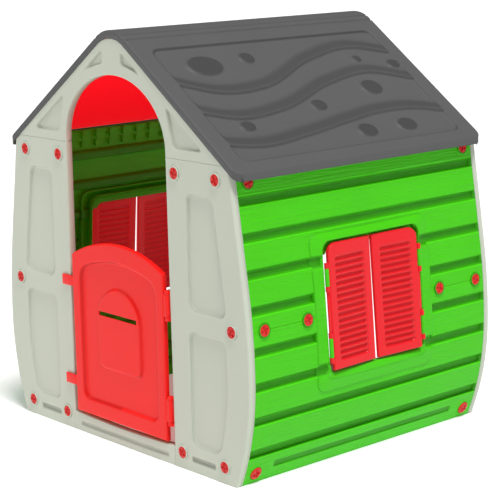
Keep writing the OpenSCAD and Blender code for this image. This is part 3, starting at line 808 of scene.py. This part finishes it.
# Pebbles: (along the ridge, down the slope, half length, half width).
PEBBLES = ((-259, 196, 48, 32), (-109, 182, 20, 17), (255, 228, 13, 11), (367, 263, 18, 15),
           (217, 342, 30, 24), (-10, 384, 21, 17), (-284, 426, 19, 15), (75, 495, 27, 20), (222, 494, 29, 20))
FIELD_Y = 388.0
FIELD_TOP, FIELD_END = 118.0, 546.0
WAVE_D = 9.0
FIELD_D = 5.5
FIELD_R = 26.0
FIELD_EDGE = 7.0
WAVE_FADE = 60.0
WAVE_BAND = 46.0
PEBBLE_H = 4.5
RIDGE_LINES = (53, 76)
RIDGE_LINE_D = 3.0


def curve_through(points, y):
    """A smooth curve through the points (cubic, with slopes from the neighbours)."""
    px = np.array([p[0] for p in points], float)
    pz = np.array([p[1] for p in points], float)
    slope = np.gradient(pz, px)
    i = np.clip(np.searchsorted(px, y) - 1, 0, len(px) - 2)
    h = px[i + 1] - px[i]
    t = (y - px[i]) / h
    a = (1 + 2 * t) * (1 - t) ** 2 * pz[i] + t * (1 - t) ** 2 * h * slope[i]
    return a + t * t * (3 - 2 * t) * pz[i + 1] + t * t * (t - 1) * h * slope[i + 1]


def in_field(y, s):
    """Distance inside the rounded field that holds the roof's pattern."""
    return box_inside(y, FIELD_Y, s - (FIELD_TOP + FIELD_END) / 2, (FIELD_END - FIELD_TOP) / 2, FIELD_R)


def roof_relief(y, s):
    """Height of the moulded pattern at y along the ridge and s down the slope from the sharp ridge line."""
    h = np.zeros(np.broadcast(y, s).shape)
    for at in RIDGE_LINES:
        h -= RIDGE_LINE_D * (1 - smooth(np.abs(s - at) / 4.5))
    field = smooth(in_field(y, s) / FIELD_EDGE)
    relief = np.full(h.shape, -FIELD_D)
    for points in WAVES:
        d = curve_through(points, y) - s
        rise = smooth((WAVE_FADE - d) / WAVE_FADE) * smooth((d + 3) / 5)
        relief = np.maximum(relief, WAVE_D * rise - FIELD_D)
    for py, ps, ry, rs in PEBBLES:
        q = np.hypot((y - py) / ry, (s - ps) / rs)
        relief += PEBBLE_H * smooth((1.24 - q) / 0.2)
    return h + field * relief


def roof_painted_shade_and_tone(y, s):
    """Up to 1 where the pattern is darker: the pebble tops, of a darker finish, and the wave bands and
    outline, painted shade. Below 0 on its lit edges, painted highlights.
    """
    f = np.zeros(np.broadcast(y, s).shape)
    for points in WAVES:
        d = curve_through(points, y) - s
        f = np.maximum(f, 0.75 * smooth((d - 1) / 4) * smooth((WAVE_BAND - d) / 24))
        f = f - 0.7 * smooth(1 - np.abs(d + 0.5) / 2.4)
    for py, ps, ry, rs in PEBBLES:
        q = np.hypot((y - py) / ry, (s - ps) / rs)
        f = np.maximum(f, smooth((1.16 - q) / 0.1)) - 0.5 * smooth(1 - np.abs(q - 1.2) / 0.07)
    inside = in_field(y, s)
    return f * smooth(inside / FIELD_EDGE) + 0.8 * smooth(1 - np.abs(inside - 3) / 4.5)


def slope_point(s):
    """House x, z at distance s down the slope from the sharp ridge line, the ridge being rounded."""
    s = np.asarray(s, float)
    angle = np.clip(s / SLOPE_START, 0, 1) * ROOF_PITCH
    on_arc = s < SLOPE_START
    x = np.where(on_arc, RIDGE_R * np.sin(angle), s * math.cos(ROOF_PITCH))
    z = np.where(on_arc, RIDGE_C + RIDGE_R * np.cos(angle), APEX_Z - s * math.sin(ROOF_PITCH))
    return x, z


def roof_panel():
    """One roof slope with its pattern, from the ridge down to the lip at the eave."""
    eave_rows = SLOPE_LENGTH - np.array([6, 4.5, 3, 2, 1.2, 0.6, 0])
    s = np.concatenate([np.arange(0.2, SLOPE_LENGTH - 8, 2.1), eave_rows])
    y_share = spread(2 * ROOF_END, 3.0) / ROOF_END - 1
    to_eave = (SLOPE_LENGTH - s) * math.cos(ROOF_PITCH)
    half = ROOF_END - rounded_edge(to_eave, CORNER_R)
    y = half[:, None] * y_share
    ss = s[:, None] + 0 * y
    lift = roof_relief(y, ss) - rounded_edge(half[:, None] - np.abs(y), 4.0)
    x, z = slope_point(ss)
    tilt = np.minimum(ss / SLOPE_START, 1) * ROOF_PITCH
    x = x + lift * np.sin(tilt)
    z = z + lift * np.cos(tilt) - rounded_edge(to_eave, 5.0)[:, None]
    # The eave turns down into a lip that flares a little, and each verge turns down at the gable.
    lip = np.array([[1.2, -8.0], [2.4, -14.0], [3.0, -EAVE_LIP], [-1.0, -EAVE_LIP]])
    x = np.concatenate([x] + [x[-1:] + d for d, _ in lip])
    z = np.concatenate([z] + [APEX_Z - EAVE_X * math.tan(ROOF_PITCH) + d + 0 * z[-1:] for _, d in lip])
    y = np.concatenate([y] + [y[-1:]] * len(lip))
    x = np.pad(x, ((0, 0), (1, 1)), mode="edge")
    y = np.pad(y, ((0, 0), (1, 1)), mode="edge")
    z = np.pad(z, ((0, 0), (1, 1)), mode="edge")
    rows = len(s)
    for col in (0, -1):
        z[:rows, col] = np.maximum(slope_point(s)[1] - VERGE_DROP, z[-1, 1])
    # Painted shade and painted highlights of the pattern, with the pebbles' darker tone.
    finish = np.pad(roof_painted_shade_and_tone(y[:rows, 1:-1], ss), ((0, len(lip)), (1, 1)))
    shape = Shape()
    shape.grid(x, y, z, (0.5, 0, 0.8), finish=finish)
    return shape


for side, mx in SIDES:
    node = f"roof_panel_{side}"
    build(node + "_slates", roof_panel(), SLATE, "house", (node,), (mx, 1), ROOF_SKIN)


# ---- Screws ------------------------------------------------------------------------------------
HEAD_R = 17.2
HEAD_H = 5.0
DOME_H = 2.2
CROSS_L, CROSS_W, CROSS_D = 12.0, 3.0, 3.4


def screw_head(shape, place):
    """A domed head with a cross recess, built as a polar sheet of cells."""
    rim = HEAD_R - np.array([1.1, 0.7, 0.35, 0.1, 0])
    r = np.concatenate([np.linspace(0.3, HEAD_R - 1.6, 17), rim])[None, :]
    a = np.linspace(0, 2 * math.pi, 72, endpoint=False)[:, None]
    dome = HEAD_H - DOME_H * (r / HEAD_R) ** 2 - rounded_edge(HEAD_R - r, 1.8)
    u, v = r * np.cos(a), r * np.sin(a)
    cross = 0
    for p, q in ((u, v), (v, u)):
        arm = smooth((CROSS_L - np.abs(p)) / 1.2) * smooth((CROSS_W - np.abs(q)) / 1.1)
        cross = np.maximum(cross, arm)
    w = dome - CROSS_D * cross
    u = np.concatenate([u, u[:, -1:]], 1)
    v = np.concatenate([v, v[:, -1:]], 1)
    w = np.concatenate([w, 0 * w[:, -1:] + 0.1], 1)
    x, y, z = place(u, v, w)
    ox, oy, oz = place(np.zeros((1, 1)), np.zeros((1, 1)), np.array([[-30.0]]))
    origin = np.array([ox[0, 0], oy[0, 0], oz[0, 0]])
    shape.grid(x, y, z, lambda c: c - origin, wrap=True)


def on_front(px, pz, turn):
    """Places points on the front gable: across it, up it, and out from it."""
    c, s = math.cos(turn), math.sin(turn)
    return lambda u, v, w: (px + u * c - v * s, FRONT_Y - w, pz + u * s + v * c)


def gable_screws():
    shape = Shape()
    for i, (px, pz) in enumerate(GABLE_SCREWS):
        screw_head(shape, on_front(px, pz, 0.5 + 0.9 * i))
        screw_head(shape, on_front(-px, pz, 1.1 + 0.7 * i))
    return shape


def wall_screws():
    shape = Shape()
    for i, (py, pz) in enumerate(WALL_SCREWS):
        screw_head(shape, on_wall(py, pz, 0.3 + 0.8 * i))
    return shape


for end, my in ENDS:
    build(f"{end}_gable_screw_heads", gable_screws(), RED_SCREW, "house",
          (f"{end}_gable_screws",), (1, my))
for side, mx in SIDES:
    build(f"{side}_wall_screw_heads", wall_screws(), RED_SCREW, "house",
          (f"{side}_wall_screws",), (mx, 1))


# ---- Door --------------------------------------------------------------------------------------
DOOR_HALF = 190.0
DOOR_BOTTOM = 60.0
DOOR_SHOULDER = 494.0
DOOR_ARCH_R = 404.0
DOOR_APEX = DOOR_SHOULDER + DOOR_ARCH_R - math.sqrt(DOOR_ARCH_R ** 2 - DOOR_HALF ** 2)
DOOR_FACE = DOOR_LOW[1]
DOOR_T = 14.0
HINGE_X = 200.0
HINGE_Z = (415.0, 141.0)
DOOR_LEFT = 194.0
DOOR_SKIN = 4.0
DOOR_BORDER = 27.0
DOOR_RIM = 28.0
DOOR_FIELD_D = 8.0
PANEL_H = 6.5
PANEL_HALF = 93.0
PANEL_LOW, PANEL_SPRING = 200.0, 332.0
KNUCKLE_R = 6.5
KNUCKLE_HALF = 29.5
TAB_X = 241.5
SLOT_X = (-84.0, 76.0)
SLOT_Z = (343.0, 355.0)


def door_top(x):
    r = DOOR_ARCH_R
    return DOOR_APEX - r + np.sqrt(r * r - np.asarray(x, float) ** 2)


def door_steps(x, z):
    """How far the face has stepped down into its field, and up again onto the arched panel, 0 to 1."""
    field = soft_min(DOOR_HALF - DOOR_BORDER - np.abs(x), z - DOOR_BOTTOM - 40, 30)
    field = soft_min(field, door_top(x) - 46 - z, 34)
    panel = soft_min(PANEL_HALF - np.abs(x), z - PANEL_LOW, 26)
    panel = soft_min(panel, PANEL_HALF - np.hypot(x, np.maximum(z - PANEL_SPRING, 0)), 6)
    return smooth(field / 7), smooth(panel / 5)


def step_side(step):
    """1 half way down a step, 0 above and below it."""
    return 4 * step * (1 - step)


def door_leaf():
    """The door's front and hollow back, with the letter slot cut through both."""
    shape = Shape()
    x = np.unique(np.round(np.concatenate([spread(DOOR_LEFT + DOOR_HALF, 2.6) - DOOR_LEFT, SLOT_X]), 2))
    low = DOOR_BOTTOM
    fixed = np.arange(low + 9, 480, 2.6)
    fixed = fixed[np.min(np.abs(fixed[:, None] - np.array(SLOT_Z)), 1) > 1.4]
    foot = low + np.array([0, 0.5, 1.2, 2.3, 3.8, 6])
    z_low = np.unique(np.round(np.concatenate([foot, fixed, SLOT_Z]), 2))
    start = z_low[-1]
    share = np.concatenate([np.linspace(0, 0.9, 22)[1:], [0.94, 0.965, 0.982, 0.993, 1.0]])
    z = np.concatenate([z_low[None, :] + 0 * x[:, None], start + (door_top(x)[:, None] - start) * share], 1)
    xx = x[:, None] + 0 * z
    s = np.minimum(np.minimum(DOOR_HALF - xx, DOOR_LEFT + xx), np.minimum(z - low, door_top(xx) - z))
    field, panel = door_steps(xx, z)
    depth = DOOR_FIELD_D * field - PANEL_H * panel + rounded_edge(s, 4.0)
    # The sides that face right, away from the light, are the darker ones.
    shade = step_side(field) * np.where(xx < 0, 1.6, 0.1) + step_side(panel) * np.where(xx > 0, 1.2, 0.0)
    xc, zc = (xx[:-1, :-1] + xx[1:, 1:]) / 2, (z[:-1, :-1] + z[1:, 1:]) / 2
    hole = (xc > SLOT_X[0]) & (xc < SLOT_X[1]) & (zc > SLOT_Z[0]) & (zc < SLOT_Z[1])
    keep = np.pad(~hole, 1, mode="constant", constant_values=True)
    px, pz = np.pad(xx, 1, mode="edge"), np.pad(z, 1, mode="edge")
    front = np.pad(depth, 1, mode="constant", constant_values=DOOR_T - 1.5)
    shape.grid(px, DOOR_FACE + front, pz, (0, -1, 0), keep, finish=np.pad(shade, 1))
    hollow = smooth((s - DOOR_RIM) / 6)
    inner = (DOOR_T - rounded_edge(s, 1.5)) * (1 - hollow) + (depth + DOOR_SKIN) * hollow
    back = np.pad(inner, 1, mode="constant", constant_values=DOOR_T - 1.5)
    shape.grid(px, DOOR_FACE + back, pz, (0, 1, 0), keep)
    # The inside walls of the letter slot.
    mx, mz = sum(SLOT_X) / 2, sum(SLOT_Z) / 2
    loop_x = np.array([SLOT_X[0], SLOT_X[1], SLOT_X[1], SLOT_X[0]])
    loop_z = np.array([SLOT_Z[0], SLOT_Z[0], SLOT_Z[1], SLOT_Z[1]])
    centre = np.array([mx, 0, mz])
    loop_y = DOOR_FACE + np.array([[1.5, 1.5 + DOOR_SKIN]]) + 0 * loop_x[:, None]
    inward = np.array([1, 0, 1])
    shape.grid(loop_x[:, None], loop_y, loop_z[:, None], lambda c: (centre - c) * inward, wrap=True)
    return shape


def barrel(shape, r, low, high, place, round_r=1.2):
    """A hinge knuckle: a short cylinder with rounded ends, along the local Z axis."""
    turns = (0, 0.4, 0.8, 1.2, 1.57)
    end = [(r - round_r + round_r * math.sin(t), round_r - round_r * math.cos(t)) for t in turns]
    profile = [(0.01, low)] + [(p, low + q) for p, q in end]
    profile += [(p, high - q) for p, q in reversed(end)] + [(0.01, high)]
    shape.lathe(profile, 28, place)


door = door_leaf()
for hz in HINGE_Z:
    low, high = hz - KNUCKLE_HALF, hz + KNUCKLE_HALF
    barrel(door, KNUCKLE_R, low, high, lambda x, y, z: (x + HINGE_X, y + FRONT_Y, z))
    bar(door, (DOOR_HALF - 3, FRONT_Y - 5, low), (HINGE_X, FRONT_Y + 4, high), 1.5)
    bar(door, (-TAB_X, DOOR_FACE, hz - 12), (-DOOR_HALF, DOOR_FACE + 5, hz + 16), 2.2)
build("door_leaf", door, RED_DOOR, "door", ("door",))


# ---- Shutters ----------------------------------------------------------------------------------
SHUTTER_EDGE = 5.5
SHUTTER_W = 154.0
SHUTTER_LOW = -156.5
SHUTTER_H = 318.0
SHUTTER_T = 10.0
SHUTTER_CORNER = 28.0
HINGE_U, HINGE_N = 166.5, 2.0
BARREL_R = 5.5
PIN_R = 3.0
PIN_L = 12.5
KNUCKLE = 14.0
KNUCKLE_GAP = 0.5
LUGS = ((56.5, 101.0), (-123.0, -74.5))
LOUVRES = 17
LOUVRE_PITCH = 15.7
LOUVRE_LOW = -136.0
LOUVRE_MARGIN = (24.0, 22.0)
LOUVRE_R = 12.0
SLAT_D = 5.8
SLAT_SHADE = 0.9
EDGE_LEAN = 2.2
REST_TURN = math.radians(-3.5)
MID_TAB = (-60.0, 42.0)


def louvre_relief(u, v):
    """Depth below the shutter's face: sloping slats in a rounded field."""
    u0, u1 = SHUTTER_EDGE + LOUVRE_MARGIN[0], SHUTTER_EDGE + SHUTTER_W - LOUVRE_MARGIN[1]
    half_v = LOUVRES * LOUVRE_PITCH / 2
    inside = box_inside(u - (u0 + u1) / 2, (u1 - u0) / 2, v - LOUVRE_LOW - half_v, half_v, LOUVRE_R)
    phase = np.mod((v - LOUVRE_LOW) / LOUVRE_PITCH, 1.0)
    slat = SLAT_D * smooth(phase / 0.14) * (1 - smooth((phase - 0.22) / 0.78))
    return slat * smooth(inside / 3.5)


def in_shutter(n, u, v):
    """Window coordinates of a closed shutter, which leans in a little, to house coordinates."""
    c, s = math.cos(REST_TURN), math.sin(REST_TURN)
    dn, du = n - HINGE_N, u - HINGE_U
    return at_window(HINGE_N + dn * c - du * s, HINGE_U + dn * s + du * c, v)


def on_hinge(a, b, c):
    """Places points round the shutter's hinge line, c up along it."""
    return at_window(HINGE_N + a, HINGE_U + b, c)


def shutter():
    """The louvred leaf, its middle tab, and a pair of knuckles with pins at each hinge."""
    shape = Shape()
    u = SHUTTER_EDGE + spread(SHUTTER_W, 3.0)
    top = SHUTTER_LOW + SHUTTER_H - rounded_edge(SHUTTER_EDGE + SHUTTER_W - u, SHUTTER_CORNER)
    share = spread(SHUTTER_H, 1.3) / SHUTTER_H
    v = SHUTTER_LOW + (top - SHUTTER_LOW)[:, None] * share
    uu = u[:, None] + 0 * v
    right = SHUTTER_EDGE + SHUTTER_W
    s = np.minimum(np.minimum(uu - SHUTTER_EDGE, right - uu), np.minimum(v - SHUTTER_LOW, top[:, None] - v))
    louvres = louvre_relief(uu, v)
    uu = uu - EDGE_LEAN * share * (right - uu) / SHUTTER_W
    half = SHUTTER_T / 2
    front = half - louvres - rounded_edge(s, 3.0)
    back = -half + 0.4 * louvres + rounded_edge(s, 2.0)
    pu, pv = np.pad(uu, 1, mode="edge"), np.pad(v, 1, mode="edge")
    shade = np.pad(SLAT_SHADE * louvres / SLAT_D, 1)
    for n, out in ((front, (1, 0, 0)), (back, (-1, 0, 0))):
        pn = np.pad(n, 1, mode="constant", constant_values=-1.0)
        x, y, z = in_shutter(pn, pu, pv)
        shape.grid(x, y, z, out, finish=shade)
    bar(shape, (-3, right - 2, MID_TAB[0]), (2, right + 8, MID_TAB[1]), 1.5, in_shutter)
    for low, high in LUGS:
        for k in (low - KNUCKLE_GAP - KNUCKLE, high + KNUCKLE_GAP):
            barrel(shape, BARREL_R, k, k + KNUCKLE, on_hinge)
            bar(shape, (-3, right - 2, k), (2, HINGE_U, k + KNUCKLE), 1.5, in_shutter)
        barrel(shape, PIN_R, low - KNUCKLE_GAP - 0.1, low + PIN_L, on_hinge, 0.5)
        barrel(shape, PIN_R, high - PIN_L, high + KNUCKLE_GAP + 0.1, on_hinge, 0.5)
    return shape


def hinge_lugs():
    """The wall's knuckles between those of the shutter."""
    shape = Shape()
    for low, high in LUGS:
        barrel(shape, BARREL_R, low, high, on_hinge)
    return shape


for side, mx in SIDES:
    for end, my in (("back", 1), ("front", -1)):
        node = f"shutter_{side}_{end}"
        build(node + "_leaf", shutter(), RED_SHUTTER, node, (node,), (mx, my))
        build(f"hinge_lugs_{side}_{end}", hinge_lugs(), GREEN, "house", (), (mx, my))


# ---- CAD nodes that are shown as they are --------------------------------------------------------
def dress(node, material, bevel=0.0):
    """Gives a CAD node its material, and softer edges where asked."""
    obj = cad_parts[node]
    obj.data.materials.clear()
    obj.data.materials.append(material)
    if bevel:
        b = obj.modifiers.new("soft_edges", "BEVEL")
        b.width = bevel * MM
        b.segments = 2
        b.limit_method = "ANGLE"
        b.angle_limit = math.radians(40)


for side in ("left", "right"):
    dress(f"roof_lining_{side}", RED_LINING)
for level in ("upper", "lower"):
    dress(f"door_hinge_clip_{level}", RED_DOOR, 0.8)


# ---- Floor, light and camera ---------------------------------------------------------------------
def floor():
    mesh = bpy.data.meshes.new("floor")
    half = 30.0
    corners = [(-half, -half, 0), (half, -half, 0), (half, half, 0), (-half, half, 0)]
    mesh.from_pydata(corners, [], [(0, 1, 2, 3)])
    obj = bpy.data.objects.new("floor", mesh)
    bpy.context.scene.collection.objects.link(obj)
    m = bpy.data.materials.new("pale_floor")
    m.use_nodes = True
    shader = m.node_tree.nodes["Principled BSDF"]
    shader.inputs["Base Color"].default_value = (0.93, 0.93, 0.93, 1)
    shader.inputs["Roughness"].default_value = 0.7
    shader.inputs["Emission Color"].default_value = (1, 1, 1, 1)
    shader.inputs["Emission Strength"].default_value = 0.2
    mesh.materials.append(m)


def area_light(name, place, target, size, power):
    data = bpy.data.lights.new(name, "AREA")
    data.shape = "RECTANGLE"
    data.size, data.size_y = size
    data.energy = power
    obj = bpy.data.objects.new(name, data)
    obj.location = place
    obj.rotation_euler = (Vector(target) - Vector(place)).to_track_quat("-Z", "Y").to_euler()
    obj.visible_camera = False
    bpy.context.scene.collection.objects.link(obj)


def sun(direction, angle, strength):
    """A soft overhead light from the direction given, angle in degrees."""
    data = bpy.data.lights.new("overhead", "SUN")
    data.angle = math.radians(angle)
    data.energy = strength
    obj = bpy.data.objects.new("overhead", data)
    obj.rotation_euler = Vector(direction).to_track_quat("Z", "Y").to_euler()
    bpy.context.scene.collection.objects.link(obj)


def camera(place, azimuth, elevation, roll, lens, shift):
    """A camera that looks along azimuth from +Y towards -X and down by elevation, in degrees."""
    az, el, r = (math.radians(v) for v in (azimuth, elevation, roll))
    ahead = Vector((-math.sin(az) * math.cos(el), math.cos(az) * math.cos(el), -math.sin(el)))
    right = Vector((math.cos(az), math.sin(az), 0))
    up = right.cross(ahead)
    right, up = right * math.cos(r) + up * math.sin(r), up * math.cos(r) - right * math.sin(r)
    data = bpy.data.cameras.new("camera")
    data.sensor_width = 36
    data.lens = lens
    data.shift_x, data.shift_y = shift
    obj = bpy.data.objects.new("camera", data)
    turn = Matrix((right, up, -ahead)).transposed().to_4x4()
    obj.matrix_world = Matrix.Translation(Vector(place)) @ turn
    bpy.context.scene.collection.objects.link(obj)
    bpy.context.scene.camera = obj


floor()
world = bpy.data.worlds.new("studio")
world.use_nodes = True
world.node_tree.nodes["Background"].inputs["Color"].default_value = (1, 1, 1, 1)
world.node_tree.nodes["Background"].inputs["Strength"].default_value = 0.17
bpy.context.scene.world = world
sun((1.15, -0.3, 3.0), 20.0, 3.3)
area_light("key", (-2.6, -3.4, 2.6), (0, 0, 0.6), (1.3, 1.3), 36)
area_light("side", (3.6, -1.4, 1.0), (0, 0, 0.6), (1.4, 1.4), 4)
camera((3.336, -2.940, 1.389), azimuth=48.518, elevation=11.852, roll=-1.080, lens=119.03,
       shift=(0.00563, 0.00436))
bpy.context.scene.view_settings.view_transform = "Standard"
